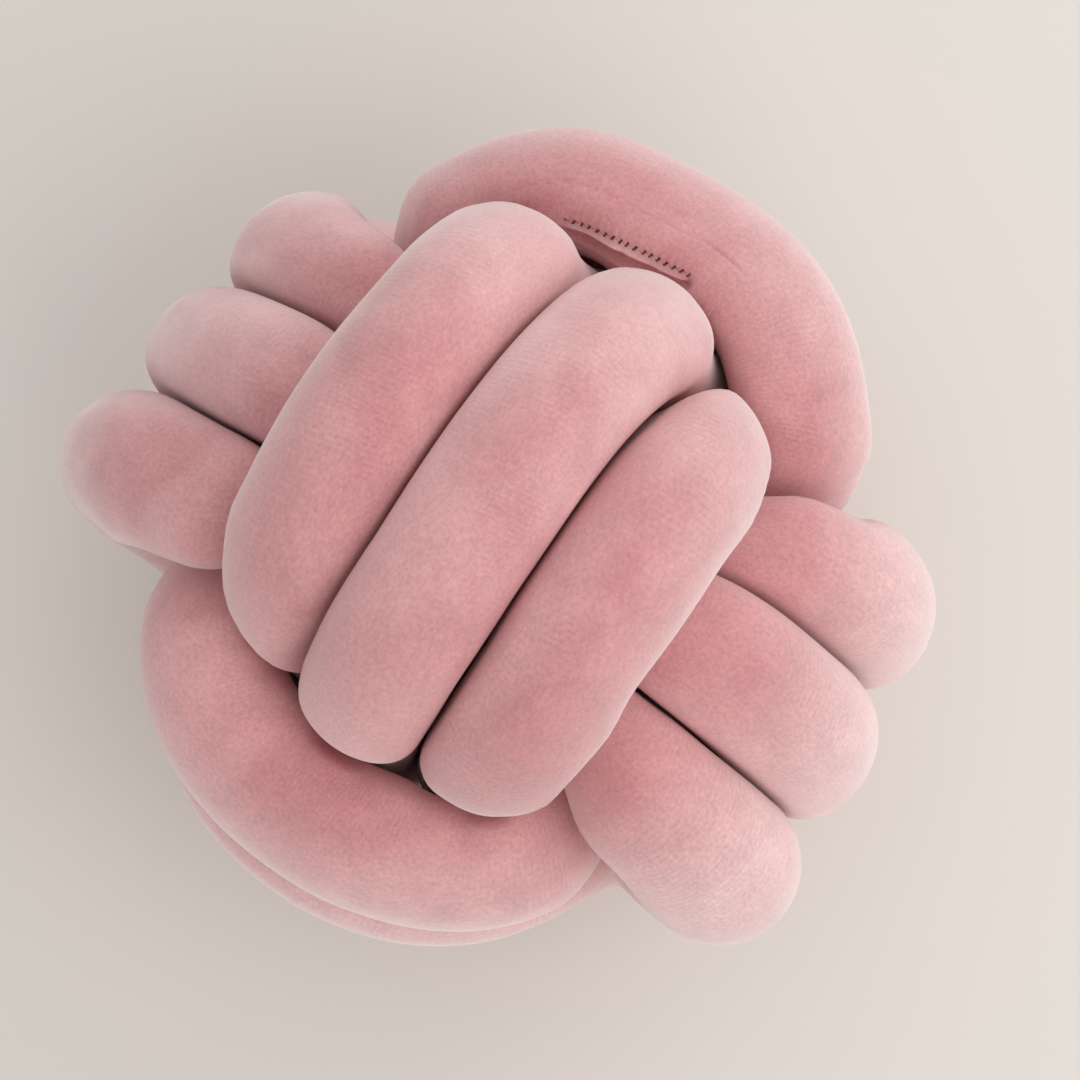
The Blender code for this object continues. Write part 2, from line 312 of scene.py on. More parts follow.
def core_room(points, rays):
    """Each section's shoulder radius, and how far its core may reach along each spoke."""
    spacing = along(points)[-1] / (len(points) - 1)
    numbers = np.arange(len(points))
    apart = np.abs(numbers[:, None] - numbers[None, :]) * spacing
    other = apart > OWN_STRETCH * TUBE_DIAMETER
    between = np.sqrt(((points[:, None, :] - points[None, :, :]) ** 2).sum(axis=2))
    between = np.where(other, between, np.inf)
    half_width = between / 2 - TURN_GAP / 2
    half_width = np.maximum(half_width, LEAST_HALF_WIDTH * TUBE_DIAMETER / 2)
    bends = np.gradient(headings(points), axis=0) / spacing
    bend_radius = BEND_SHARE / np.maximum(np.linalg.norm(bends, axis=1), TINY)
    tightest = np.minimum(half_width.min(axis=1), bend_radius)
    shoulder = np.minimum(SHOULDER, SHOULDER_SHARE * tightest)[:, None]
    steps = int(TUBE_DIAMETER / 4 / spacing)
    shoulder = softened(least_nearby(shoulder, 2 * steps), bell(steps / 2), "edge")[:, 0]
    reach = np.empty(rays.shape[:2])
    for number in numbers:
        near = other[number]
        ways = (points[near] - points[number]) / between[number, near][:, None]
        ahead = np.maximum(rays[number] @ ways.T, TINY)
        reach[number] = ((half_width[number, near] - shoulder[number]) / ahead).min(axis=1)
    inward = (rays * bends[:, None, :]).sum(axis=2) / np.linalg.norm(bends, axis=1)[:, None]
    inner_side = (bend_radius - shoulder)[:, None] / np.maximum(inward, TINY)
    return shoulder, np.minimum(reach, inner_side)


shoulder, reach = core_room(line, rays)

# %% [markdown]
# ## Stuffing is never quite even
#
# Loose fibre gathers in soft lumps, so a stuffed tube is never a perfect pipe.  The lumps could be
# a bump in the material, but then the outline would stay too clean.  Here they change the shape
# itself: three sizes of gentle noise, read on the straight tube before it is tied, so that each
# lump follows the cloth.

# %% Where each point lies on the straight tube
LUMPS = ((0.060, 0.0004), (0.026, 0.00022), (0.011, 0.00008))  # size and height, in metres


def straight_tube(distance, count):
    """Each point's place on the tube before it is tied: round it in X and Y, along it in Z."""
    angles = np.arange(count) * 2.0 * np.pi / count
    place = np.empty((len(distance), count, 3))
    place[:, :, X] = np.cos(angles) * TUBE_DIAMETER / 2
    place[:, :, Y] = np.sin(angles) * TUBE_DIAMETER / 2
    place[:, :, Z] = distance[:, None]
    return place


def gentle_noise(places, size):
    """Smooth noise from about -1 to 1 at each place, in lumps of this size."""
    rows = (places.reshape(-1, 3) / size).tolist()
    return np.array([noise.noise(Vector(row)) for row in rows]).reshape(places.shape[:-1])


cloth_place = straight_tube(distance, SIDES)
unevenness = sum(height * gentle_noise(cloth_place, size) for size, height in LUMPS)

# %% Spoke lengths that keep the girth
MOST_SWELL = 1.2
GIRTH_TRIALS = 10
ROOM_SOFTNESS = 0.005
SKIN_SOFTNESS = 0.003
LOOSE_ROOM = 0.2 * TUBE_DIAMETER
END_ROUNDING = 0.5
END_CLOSING = 0.97


def rolled(core, shoulder):
    """Spoke lengths to the outside of a disc of the shoulder's radius, rolled round each core."""
    count = core.shape[1]
    turns = np.arange(count) * 2.0 * np.pi / count
    outside = np.zeros_like(core)
    squares = core**2
    for shift in range(-(count // 4), count // 4 + 1):
        ahead = core * cos(turns[shift])
        left = shoulder[:, None] ** 2 - squares + ahead**2
        length = np.where(left > 0, ahead + np.sqrt(np.maximum(left, 0.0)), 0.0)
        outside = np.maximum(outside, np.roll(length, shift, axis=1))
    return outside


def girth(lengths):
    """The way round each section, from spoke end to spoke end."""
    angles = np.arange(lengths.shape[1]) * 2.0 * np.pi / lengths.shape[1]
    corners = np.stack([lengths * np.cos(angles), lengths * np.sin(angles)], axis=2)
    return np.linalg.norm(np.roll(corners, -1, axis=1) - corners, axis=2).sum(axis=1)


def pressed_core(reach, shoulder, girths):
    """Cores that keep each girth: pressed sides stop at their room, free ones swell."""
    low = np.zeros(len(girths))
    high = MOST_SWELL * girths / (2 * np.pi) - shoulder
    for _ in range(GIRTH_TRIALS):
        middle = (low + high) / 2
        too_big = girth(rolled(np.minimum(reach, middle[:, None]), shoulder)) > girths
        high = np.where(too_big, middle, high)
        low = np.where(too_big, low, middle)
    free = (low + high)[:, None] / 2
    return np.minimum(reach, free), free


most = MOST_SWELL * TUBE_DIAMETER / 2 - shoulder[:, None]
room = softened(np.minimum(reach, most + LOOSE_ROOM), bell(ROOM_SOFTNESS / distance[1]), "edge")
reach = np.minimum(reach, most)
reach = softened(least_nearby(reach, 1), bell(ROOM_SOFTNESS / distance[1]), "edge")
core, free = pressed_core(reach, shoulder, np.pi * TUBE_DIAMETER * fullness)
loose = np.clip((room - free) / LOOSE_ROOM, 0.0, 1.0)
lengths = rolled(core, shoulder) + unevenness * loose
lengths = softened(lengths, bell(SKIN_SOFTNESS / distance[1]), "edge")
to_end = np.minimum(distance, distance[-1] - distance)
closing = np.clip(1.0 - to_end / (END_ROUNDING * TUBE_DIAMETER), 0.0, END_CLOSING)
lengths *= np.sqrt(1.0 - closing**2)[:, None]

# %% The skin, lying on the floor
skin = line[:, None, :] + rays * lengths[:, :, None]
skin[:, :, Z] = np.maximum(skin[:, :, Z] + BALL_HEIGHT, 0.0)
middle = (skin.min(axis=(0, 1)) + skin.max(axis=(0, 1))) / 2
BALL_MIDDLE = Vector((-middle[X], -middle[Y], BALL_HEIGHT))
skin[:, :, :Z] -= middle[:Z]

# %% How near each point of the skin is to another turn


def crease_gaps(skin, points, distance):
    """From each point of the skin to the surface half-way between its turn and the nearest other."""
    gaps = np.empty(skin.shape[:2])
    for number, ring in enumerate(skin):
        other = points[np.abs(distance - distance[number]) > OWN_STRETCH * TUBE_DIAMETER]
        squares = (ring**2).sum(axis=1)[:, None] + (other**2).sum(axis=1)[None, :]
        nearest = np.sqrt(np.maximum(squares - 2 * ring @ other.T, 0.0).min(axis=1))
        gaps[number] = (nearest - np.linalg.norm(ring - points[number], axis=1)) / 2
    return gaps


crease_gap = crease_gaps(skin, line + np.array(BALL_MIDDLE), distance)

# %% [markdown]
# ## The closing seam
#
# The tube is filled through a gap in its long seam, and the gap is then sewn shut by hand.  On this
# cushion those stitches show on the upper ring turn, just beside the face: a row of small dark
# marks, each in its own pit, with a folded lip of cloth below them and puckers where the thread
# pulls.  A bump in the material would be less work, but it stays flat in outline and casts no
# shadow.  So the cloth itself is moved here.

# %% Reading the skin between its points
SEAM_PATH = ((0.2320, 277.0), (0.2405, 274.0), (0.2530, 274.0), (0.2655, 276.0), (0.2785, 282.0))
SEAM_START, SEAM_END = SEAM_PATH[0][0], SEAM_PATH[-1][0]
SEAM_RADIUS = 0.0246
SIDE_ANGLE = FULL_TURN / SIDES


def curve_weights(t):
    """Shares of four values in a row, for a smooth curve from the second one to the third."""
    return (
        (-(t**3) + 2 * t**2 - t) / 2,
        (3 * t**3 - 5 * t**2 + 2) / 2,
        (-3 * t**3 + 4 * t**2 + t) / 2,
        (t**3 - t**2) / 2,
    )


def cloth_at(grid, places, angles):
    """Values kept for each ring and side, read at these distances and at a row of angles there."""
    rings = places / distance[1]
    first = np.floor(rings).astype(int)
    shares = curve_weights(rings - first)
    rows = sum(share[:, None, None] * grid[first + n - 1] for n, share in enumerate(shares))
    sides = angles / SIDE_ANGLE
    first = np.floor(sides).astype(int)
    shares = curve_weights(sides - first)
    row = np.arange(len(rows))[:, None]
    return sum(share[..., None] * rows[row, (first + n - 1) % SIDES] for n, share in enumerate(shares))


def seam_angle(places):
    """The angle round the tube at which the seam lies, at each distance."""
    return np.interp(places, *zip(*SEAM_PATH))


# %% The stitches, and how unevenly a hand sews them
STITCHES = 16
STITCH = (SEAM_END - SEAM_START) / STITCHES
STITCH_SLANT = 0.25
HAND_UNEVEN = 0.22
HAND_PERIOD = 1.7


def flat_noise(places, across, size):
    """Gentle noise on the cloth laid flat, at these distances along and across."""
    return gentle_noise(np.stack([places, across, np.zeros_like(places)], axis=-1), size)


def hand_strays(places):
    """How far the stitches here stray along the seam, in stitches."""
    return HAND_UNEVEN * flat_noise(places, np.zeros_like(places), HAND_PERIOD * STITCH)


# %% [markdown]
# The thread pulls the whole seam down, and draws a groove along it with a pit at each stitch.  The
# folded edge stands up as a lip, with a hollow below it.  Fine puckers run across, the cloth beside
# the lip lies in loose folds, and it is tucked in at two places.  Sculpting all this by hand would
# be hard to change later, so each of them is a hill or a dip with a height, a place and a width.

# %% Hills and dips across the seam
Rise = namedtuple("Rise", "height place half_width")  # in metres, the place across the seam
PULL = Rise(-0.0009, 0.0, 0.0045)
GROOVE = Rise(-0.0005, 0.0, 0.0011)
PIT = Rise(-0.0019, 0.0, 0.0010)
LIP = Rise(0.0019, -0.0023, 0.0009)
PUCKER = Rise(0.0002, 0.00175, 0.0035)
FOLD = Rise(0.0013, -0.0052, 0.0034)


def hill(values, half_width):
    """A smooth hill of height 1 at 0."""
    return np.exp(-((values / half_width) ** 2))


def ridge(rise, across):
    """A hill or a dip that runs along the seam."""
    return rise.height * hill(across - rise.place, rise.half_width)


# %% Where a shape starts and ends


def inside(values, limits, margin):
    """1 well inside the limits, and 0 at them and beyond."""
    low, high = limits
    return eased((values - low) / margin) * eased((high - values) / margin)


def widened(limits, margin):
    """Limits moved out at both ends."""
    return limits[0] - margin, limits[1] + margin


print("the middle of a range, and its end:", inside(np.array([0.5, 1.0]), (0.0, 1.0), 0.1))

# %% How the cloth rises and dips round the stitches
PIT_SHARPNESS = 4
LIP_UNEVEN = 0.4
FOLD_SIZE = 0.0058
PUCKER_WANDER = 2.0
HOLLOW_DEPTH = 0.0036
HOLLOW_SLOPE = 0.0024
HOLLOW_END = -0.0120
HOLLOW_FADE = 0.005
SEAM_FADE = 0.003
Notch = namedtuple("Notch", "distance across depth half_length half_width")
NOTCHES = (
    Notch(0.2567, -0.0055, 0.0022, 0.0013, 0.0022),
    Notch(0.2312, -0.0030, 0.0026, 0.0015, 0.0022),
)


def seam_rise(places, across):
    """How far the cloth stands over the plain tube, at these distances along and across the seam."""
    stitch = (places - SEAM_START) / STITCH + hand_strays(places) + STITCH_SLANT * across / STITCH
    wander = flat_noise(places, across, FOLD_SIZE)
    at_stitch = ((1.0 + np.cos(2 * np.pi * stitch)) / 2) ** PIT_SHARPNESS
    at_pucker = np.cos(2 * np.pi * stitch + PUCKER_WANDER * wander)
    below_lip = eased((LIP.place - across) / HOLLOW_SLOPE)
    hollow = HOLLOW_DEPTH * below_lip * eased((across - HOLLOW_END) / HOLLOW_FADE)
    rise = ridge(PULL, across) + ridge(GROOVE, across) - hollow
    rise = rise + PIT.height * at_stitch * hill(across**2, PIT.half_width**2)
    rise = rise + ridge(LIP, across) * (1.0 + LIP_UNEVEN * wander)
    rise = rise + ridge(PUCKER, across) * at_pucker
    rise = rise + ridge(FOLD, across) * wander
    rise = rise * inside(places, widened((SEAM_START, SEAM_END), SEAM_FADE), 2 * SEAM_FADE)
    for notch in NOTCHES:
        beside = hill(places - notch.distance, notch.half_length)
        rise = rise - notch.depth * beside * hill(across - notch.across, notch.half_width)
    return rise


print("places where the cloth is tucked in:", len(NOTCHES))

# %% [markdown]
# A pit is a millimetre or two across, and a mesh fine enough for it all over the tube would have
# millions of faces.  So only the cloth round the seam is that fine: it is a strip of its own, laid
# on the tube's skin, with rows a quarter of a millimetre apart.  Its edges dip just under the tube,
# and the tube is sunk beneath it, so that the one never shows through the other.

# %% The strip of cloth round the seam
RING_GAP = distance[1]
SIDE_GAP = SEAM_RADIUS * radians(SIDE_ANGLE)
SHAPED_BEFORE = 0.0075
SHAPED_AFTER = 0.0045
SHAPED_ALONG = (SEAM_START - SHAPED_BEFORE, SEAM_END + SHAPED_AFTER)
SHAPED_ACROSS = (-0.012, 0.008)
SHAPE_FADE = 0.003
COVER = 3
EDGE_DIP = 0.00012
EDGE_LIFT = 0.00002
EDGE = 0.0035
ROW_GAP = 0.00026
FINE_ACROSS = (-0.0055, 0.0025)
FINE_COLUMNS = 33
PLAIN_COLUMNS = 18
STRIP_ALONG = widened(SHAPED_ALONG, COVER * RING_GAP)
STRIP_ACROSS = widened(SHAPED_ACROSS, COVER * SIDE_GAP)


def seam_cloth(places, across, angles):
    """Points on the cloth round the seam, and each one's place on the straight tube."""
    along_seam, across_seam = np.broadcast_arrays(places[:, None], across[None, :])
    rise = seam_rise(along_seam, across_seam)
    rise = rise * inside(along_seam, SHAPED_ALONG, SHAPE_FADE)
    rise = rise * inside(across_seam, SHAPED_ACROSS, SHAPE_FADE)
    rim = inside(along_seam, STRIP_ALONG, EDGE) * inside(across_seam, STRIP_ACROSS, EDGE)
    rise = rise + EDGE_LIFT * rim - EDGE_DIP * (1.0 - rim)
    outward = cloth_at(rays, places, angles)
    points = cloth_at(skin, places, angles) + outward * rise[..., None]
    turned = np.radians(angles)
    place = np.stack([np.cos(turned), np.sin(turned), along_seam], axis=-1)
    place[..., :Z] *= TUBE_DIAMETER / 2
    return points, place


strip_places = np.arange(*STRIP_ALONG, ROW_GAP)
below = np.linspace(STRIP_ACROSS[0], FINE_ACROSS[0], PLAIN_COLUMNS + 1)[:-1]
above = np.linspace(FINE_ACROSS[1], STRIP_ACROSS[1], PLAIN_COLUMNS + 1)[1:]
strip_across = np.concatenate([below, np.linspace(*FINE_ACROSS, FINE_COLUMNS), above])
strip_angles = seam_angle(strip_places)[:, None] + np.degrees(strip_across / SEAM_RADIUS)[None, :]
strip, strip_place = seam_cloth(strip_places, strip_across, strip_angles)
print("points in the strip:", strip.shape[0] * strip.shape[1])

# %% The part of the tube that is sunk beneath the strip
SUNK = 0.0075
side_angles = np.arange(SIDES) * SIDE_ANGLE
tube_across = np.radians(side_angles[None, :] - seam_angle(distance)[:, None]) * SEAM_RADIUS
sunk_along = inside(distance, widened(SHAPED_ALONG, RING_GAP), TINY)
sunk = sunk_along[:, None] * inside(tube_across, widened(SHAPED_ACROSS, SIDE_GAP), TINY)
print("points sunk:", int(sunk.sum()))

# %% [markdown]
# ## The tube as a mesh
#
# A curve with a bevel would be the quick way to a tube, but it has the same section all along, and
# here no two are alike.  So each ring of points is joined to the next by a band of four-sided faces,
# and the last ring at each end is closed.  The mesh also keeps four things for the velvet: where
# each point was on the straight tube, which way the tube runs there, how near the next turn is, and
# where the point lies from the middle of the ball.

# %% A mesh through rows of points


def lofted(name, rings, wraps=True, closed_ends=True):
    """A mesh piece through rows of points, all with the same number of points."""
    count, sides = rings.shape[:2]
    faces = []
    for ring in range(count - 1):
        here, there = ring * sides, (ring + 1) * sides
        for side in range(sides if wraps else sides - 1):
            beside = (side + 1) % sides
            faces.append((here + side, here + beside, there + beside, there + side))
    if closed_ends:
        faces.append(tuple(range(sides))[::-1])
        faces.append(tuple((count - 1) * sides + side for side in range(sides)))
    mesh = bpy.data.meshes.new(name)
    mesh.from_pydata(rings.reshape(-1, 3).tolist(), [], faces)
    mesh.shade_smooth()
    piece = bpy.data.objects.new(name, mesh)
    bpy.context.scene.collection.objects.link(piece)
    return piece


def keep_for_velvet(piece, name, vectors):
    """Stores a vector for each point of the mesh, under a name that a material can read."""
    kept = piece.data.attributes.new(name, "FLOAT_VECTOR", "POINT")
    kept.data.foreach_set("vector", np.ascontiguousarray(vectors, dtype=np.float32).ravel())


tube = lofted("tube_velvet", skin - rays * sunk[:, :, None] * SUNK)
tube_way = np.repeat(headings(line)[:, None, :], SIDES, axis=1)
tube_gap = np.repeat(crease_gap[:, :, None], 3, axis=2)
from_middle = skin - np.array(BALL_MIDDLE)
keep_for_velvet(tube, "cloth_place", cloth_place)
keep_for_velvet(tube, "pile_way", tube_way)
keep_for_velvet(tube, "crease_gap", tube_gap)
keep_for_velvet(tube, "from_middle", from_middle)
print("faces in the tube:", len(tube.data.polygons))

# %% The strip as a mesh
seam_strip = lofted("closing_seam", strip, wraps=False, closed_ends=False)
keep_for_velvet(seam_strip, "cloth_place", strip_place)
keep_for_velvet(seam_strip, "pile_way", cloth_at(tube_way, strip_places, strip_angles))
keep_for_velvet(seam_strip, "crease_gap", cloth_at(tube_gap, strip_places, strip_angles))
keep_for_velvet(seam_strip, "from_middle", cloth_at(from_middle, strip_places, strip_angles))
print("faces in the strip:", len(seam_strip.data.polygons))

# %% [markdown]
# ## The sewing thread
#
# The thread crosses the seam at each stitch and then slants on to the next one, inside the cloth.
# Only the crossings show.  They could be separate little rods, but one thread swept along its whole
# path is drawn in and comes out at each pit as a real one does.

# %% The thread as a mesh
THREAD_RADIUS = 0.0002
THREAD_SIDES = 8
STITCH_HALF_LENGTH = 0.0010
STITCH_STEPS = 18
CROSSING_SHARE = 0.4
THREAD_BURIED = 0.00042
THREAD_SOFTNESS = 0.8


def thread_path():
    """The thread's middle: across the seam at each stitch, then slanting on to the next one."""
    steps = np.arange(STITCHES * STITCH_STEPS + 1) / STITCH_STEPS
    part = steps % 1.0
    crossing = part < CROSSING_SHARE
    down = eased(part / CROSSING_SHARE)
    back = eased((part - CROSSING_SHARE) / (1.0 - CROSSING_SHARE))
    across = STITCH_HALF_LENGTH * np.where(crossing, 1.0 - 2.0 * down, 2.0 * back - 1.0)
    along_seam = np.floor(steps) + np.where(crossing, 0.0, back)
    places = SEAM_START + along_seam * STITCH
    places = places - hand_strays(places) * STITCH - STITCH_SLANT * across
    angles = seam_angle(places) + np.degrees(across / SEAM_RADIUS)
    buried = np.sin(np.pi * np.where(crossing, 0.0, back)) * THREAD_BURIED
    height = seam_rise(places, across) + THREAD_RADIUS - buried
    points = cloth_at(skin, places, angles[:, None])[:, 0]
    outward = cloth_at(rays, places, angles[:, None])[:, 0]
    return softened(points + outward * height[:, None], bell(THREAD_SOFTNESS), "edge")


path = thread_path()
thread_spokes = spokes(path, THREAD_SIDES)
thread = lofted("closing_stitches", path[:, None, :] + thread_spokes * THREAD_RADIUS)
keep_for_velvet(thread, "cloth_place", straight_tube(along(path), THREAD_SIDES))

# %% [markdown]
# ## The velvet
#
# Velvet is a carpet of tiny upright hairs.  Seen straight on it is deep and matt, because light
# sinks between the hairs; at a grazing angle their tips catch the light, and the edge of each turn
# glows pale.  Real hair would take millions of strands, so a sheen layer stands in for the tips.
# What makes it look real is that it is never even: hands have brushed the pile this way and that,
# fine ribs of the ground weave show where the cloth is stretched, and the pile itself has a grain.
# All of it is read from the mesh, so it stays on the cloth when the view changes.

# %% Short ways to add and join material nodes


def new_material(name):
    """A material with its shader and its node tree."""
    material = bpy.data.materials.new(name)
    material.use_nodes = True
    return material, material.node_tree.nodes["Principled BSDF"], material.node_tree


def node(tree, kind, settings=None, **inputs):
    """Adds a node.  Inputs are named as in Blender, in small letters: a value, or a socket."""
    made = tree.nodes.new("ShaderNode" + kind)
    for name, value in (settings or {}).items():
        setattr(made, name, value)
    by_name = {}
    for socket in made.inputs:
        if socket.enabled:
            by_name.setdefault(socket.name.lower().replace(" ", "_"), []).append(socket)
    for name, value in inputs.items():
        name, _, number = name.partition("__")
        socket = by_name[name][int(number or 0)]
        if isinstance(value, bpy.types.NodeSocket):
            tree.links.new(value, socket)
        else:
            socket.default_value = value
    return made


def named_vector(tree, name):
    """What the mesh keeps for the velvet under this name."""
    return node(tree, "Attribute", {"attribute_name": name}).outputs["Vector"]


print("made: new_material, node, named_vector")

# %% Sums, shares, colours and noise as nodes
MIX_FIRST, MIX_SECOND, MIX_RESULT = 6, 7, 2  # a Mix node's sockets for colours


def number_node(tree, operation, first, second=0.0):
    """One sum on numbers or sockets."""
    made = node(tree, "Math", {"operation": operation}, value=first)
    if isinstance(second, bpy.types.NodeSocket):
        tree.links.new(second, made.inputs[1])
    else:
        made.inputs[1].default_value = second
    return made.outputs[0]


def vector_node(tree, operation, first, second, output="Vector"):
    """One sum on two directions or places."""
    made = node(tree, "VectorMath", {"operation": operation}, vector=first, vector__1=second)
    return made.outputs[output]


def fade(tree, value, low, high, to_low=0.0, to_high=1.0):
    """Turns a value's range from low to high into another one, and stops at its ends."""
    made = node(
        tree, "MapRange", None, value=value, from_min=low, from_max=high, to_min=to_low, to_max=to_high
    )
    return made.outputs[0]


def two_colours(tree, share, first, second):
    """A colour between two, by share."""
    made = tree.nodes.new("ShaderNodeMix")
    made.data_type = "RGBA"
    tree.links.new(share, made.inputs[0])
    for socket, colour in ((made.inputs[MIX_FIRST], first), (made.inputs[MIX_SECOND], second)):
        if isinstance(colour, bpy.types.NodeSocket):
            tree.links.new(colour, socket)
        else:
            socket.default_value = colour
    return made.outputs[MIX_RESULT]


def noise_at(tree, place, size, detail=2.0, roughness=0.5, distortion=0.0):
    """Noise from 0 to 1 with grains of this size, in metres."""
    made = node(
        tree,
        "TexNoise",
        None,
        vector=place,
        scale=1.0 / size,
        detail=detail,
        roughness=roughness,
        distortion=distortion,
    )
    return made.outputs[0]


print("made: number_node, vector_node, fade, two_colours, noise_at")

# %% Fine ribs of the ground weave
RIB_PITCH = 0.0015
RIB_DEPTH = 0.00006
RIB_SHADE = 0.10
RIB_AXIS = (0.12, 0.08, 1.0)
RIB_WANDER = 9.0
RIB_BEND = 0.009
STRETCHED_PATCH = 0.035
STRETCHED_EDGE = (0.46, 0.62)
RIB_BREAK = 0.004
BREAK_EDGE = (0.35, 0.6)


def fine_ribs(tree, cloth):
    """The ground weave's ribs, from 0 to 1, across the tube and only where the cloth is stretched."""
    slanted = vector_node(tree, "DOT_PRODUCT", cloth, RIB_AXIS, "Value")
    wander = number_node(tree, "MULTIPLY", noise_at(tree, cloth, RIB_BEND, detail=2.0), RIB_WANDER)
    phase = number_node(tree, "MULTIPLY", slanted, 2 * pi / RIB_PITCH)
    phase = number_node(tree, "ADD", phase, wander)
    grooves = fade(tree, number_node(tree, "SINE", phase), 0.0, 1.0)
    stretched = fade(tree, noise_at(tree, cloth, STRETCHED_PATCH, detail=1.0), *STRETCHED_EDGE)
    broken = fade(tree, noise_at(tree, cloth, RIB_BREAK, detail=1.0), *BREAK_EDGE)
    return number_node(tree, "MULTIPLY", number_node(tree, "MULTIPLY", grooves, stretched), broken)


# %% [markdown]
# The colour goes on in layers.  First comes the brushed cloth, with deep and soft patches.  Over it
# the outer ends are painted paler as a painted sheen, more on the side of the ball toward the window
# light than on the other.  The creases are painted a deep dark rose as painted shade.

# %% Colour of the velvet
DEEP_ROSE = (0.62, 0.245, 0.26, 1.0)
SOFT_ROSE = (0.75, 0.36, 0.37, 1.0)
# painted sheen: a paler rose painted on the outer ends, most on the side toward the window light
PAINTED_SHEEN_ROSE = (0.86, 0.55, 0.55, 1.0)
# painted shade: a dark rose painted into the creases
PAINTED_CREASE_SHADE = (0.40, 0.08, 0.09, 1.0)
PATCH_EDGE = (0.36, 0.64)
PAINTED_SHEEN_CENTRE = (0.0, 0.020, 0.0)
PAINTED_SHEEN_REACH = (0.112, 0.150)
PAINTED_SHEEN_MOTTLE = (0.3, 0.65, 0.8, 1.0)
PAINTED_SHADE_GAP = (0.0002, 0.0012)
FLATTEN = (1.0, 1.0, 0.0)
NOISE_SPAN = (0.3, 0.7)
MOTTLE_TONES = (0.94, 1.05)
GRAIN_TONES = (0.86, 1.12)


def velvet_colour(tree, from_middle, gap, patches, mottle, grain, ribs):
    """Brushed patches, painted sheen at the ends, painted crease shade, and a mottle, a grain and
    ribs.
    """
    colour = two_colours(tree, fade(tree, patches, *PATCH_EDGE), DEEP_ROSE, SOFT_ROSE)

    # painted sheen: the far ends are painted paler, measured from a point beside the middle so the
    # window's side gets most
    shifted = vector_node(tree, "SUBTRACT", from_middle, PAINTED_SHEEN_CENTRE)
    flat = vector_node(tree, "MULTIPLY", shifted, FLATTEN)
    out = node(tree, "VectorMath", {"operation": "LENGTH"}, vector=flat).outputs["Value"]
    painted_sheen = fade(tree, out, *PAINTED_SHEEN_REACH)
    painted_sheen = number_node(tree, "MULTIPLY", painted_sheen, fade(tree, mottle, *PAINTED_SHEEN_MOTTLE))
    colour = two_colours(tree, painted_sheen, colour, PAINTED_SHEEN_ROSE)

    # painted shade: close to a crease the colour is painted a dark rose
    colour = two_colours(tree, fade(tree, gap, *PAINTED_SHADE_GAP), PAINTED_CREASE_SHADE, colour)

    tone = fade(tree, mottle, *NOISE_SPAN, *MOTTLE_TONES)
    tone = number_node(tree, "MULTIPLY", tone, fade(tree, grain, *NOISE_SPAN, *GRAIN_TONES))
    tone = number_node(tree, "MULTIPLY", tone, fade(tree, ribs, 0.0, 1.0, 1.0, 1.0 - RIB_SHADE))
    return node(tree, "HueSaturation", None, color=colour, value=tone).outputs[0]


print("tones of the grain:", GRAIN_TONES)

# %% [markdown]
# Pile never stands quite upright.  Along the tube it leans the way that it was brushed, and beside
# a crease it is pushed outward by the turn that presses on it.  So the direction that light meets
# it from isn't the skin's own, and this is what makes the cloth look soft.

# %% Lean of the pile
NOISE_MIDDLE = 0.5
NAP_LEAN = 0.10
NAP_SWEEP = 0.50
MOTTLE_SWEEP = 0.22
CREASE_LEAN = 0.75
LEAN_GAP = (0.0005, 0.006)


def scaled(tree, vector, scale):
    """A direction made longer or shorter."""
    return node(tree, "VectorMath", {"operation": "SCALE"}, vector=vector, scale=scale).outputs[0]


def unit(tree, vector):
    """A direction of length 1."""
    return node(tree, "VectorMath", {"operation": "NORMALIZE"}, vector=vector).outputs[0]


def pile_direction(tree, from_middle, gap, patches, mottle):
    """The way that the pile points: up from the skin, along the tube, and out of the creases."""
    pile_way = named_vector(tree, "pile_way")
    sweep = number_node(tree, "SUBTRACT", patches, NOISE_MIDDLE)
    sweep = number_node(tree, "MULTIPLY", sweep, NAP_SWEEP)
    small = number_node(tree, "SUBTRACT", mottle, NOISE_MIDDLE)
    small = number_node(tree, "MULTIPLY", small, MOTTLE_SWEEP)
    lean = number_node(tree, "ADD", number_node(tree, "ADD", sweep, small), NAP_LEAN)
    upright = node(tree, "NewGeometry").outputs["Normal"]
    pile = vector_node(tree, "ADD", upright, scaled(tree, pile_way, lean))

    turned_out = fade(tree, gap, *LEAN_GAP, CREASE_LEAN, 0.0)
    pile = vector_node(tree, "ADD", pile, scaled(tree, unit(tree, from_middle), turned_out))
    return unit(tree, pile)


# %% The velvet itself
NAP_PATCH = 0.040
MOTTLE = 0.008
PILE_GRAIN = 0.0011
GRAIN_HEIGHT = 0.00018
BUMP = 0.8
ROUGHNESS = 0.95
SHINE = 0.12
SHEEN_SPREAD = 0.62
SHEEN_TINT = (1.0, 0.94, 0.93, 1.0)


